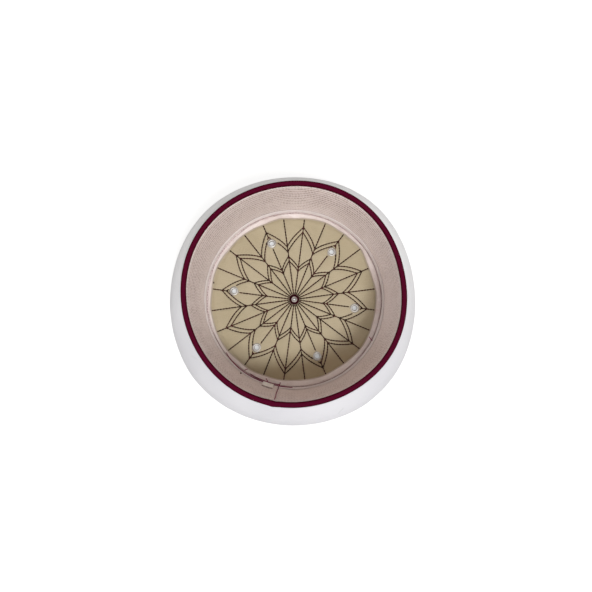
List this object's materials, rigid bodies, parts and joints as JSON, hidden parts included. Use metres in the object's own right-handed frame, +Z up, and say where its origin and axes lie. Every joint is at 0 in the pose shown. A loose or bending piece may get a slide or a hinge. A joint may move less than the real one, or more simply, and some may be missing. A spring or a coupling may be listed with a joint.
{
  "type": "turban",
  "caption": "Ready-made turban: a stiff burgundy cap with a quilted lining, air eyelets and a bound rim, with a white cloth wound round its wall.",
  "frame": {"origin": "middle of the outline of the wound cloth, on the plane of the crown's outer face, which the turban lies on", "axes": "+Z up through the opening, +Y towards the front, -Y towards the back seam, +X to the right as seen in the picture"},
  "size_m": [0.2197, 0.2236, 0.087],
  "materials": {
    "burgundy_cloth": "dull dense felt, dark burgundy",
    "burgundy_tape": "ribbed woven tape, dark burgundy with a faint sheen",
    "beige_lining": "plain woven cotton, quilted with dark thread",
    "pink_band": "coarse woven band with rows of short dashes",
    "pale_tape": "thin pale pink tape, slightly wavy",
    "tab_cloth": "smooth blank woven tab",
    "washer_cloth": "round dark burgundy cloth washer",
    "rivet_metal": "dull pale metal",
    "eyelet_metal": "satin nickel",
    "white_cloth": "smooth white cotton, wound and pressed"
  },
  "bodies": {
    "root": {"cap_crown": "burgundy_cloth", "cap_wall": "burgundy_cloth", "crown_lining": "beige_lining", "wall_lining": "pink_band", "seam_tape": "pale_tape", "rim_binding": "burgundy_tape", "size_tab": "tab_cloth", "centre_washer": "washer_cloth", "centre_rivet": "rivet_metal", "eyelet_1": "eyelet_metal", "eyelet_2": "eyelet_metal", "eyelet_3": "eyelet_metal", "eyelet_4": "eyelet_metal", "eyelet_5": "eyelet_metal", "eyelet_6": "eyelet_metal", "wrap_turn_1": "white_cloth", "wrap_turn_2": "white_cloth", "wrap_turn_3": "white_cloth", "wrap_turn_4": "white_cloth", "wrap_turn_5": "white_cloth"}
  },
  "joints": []
}
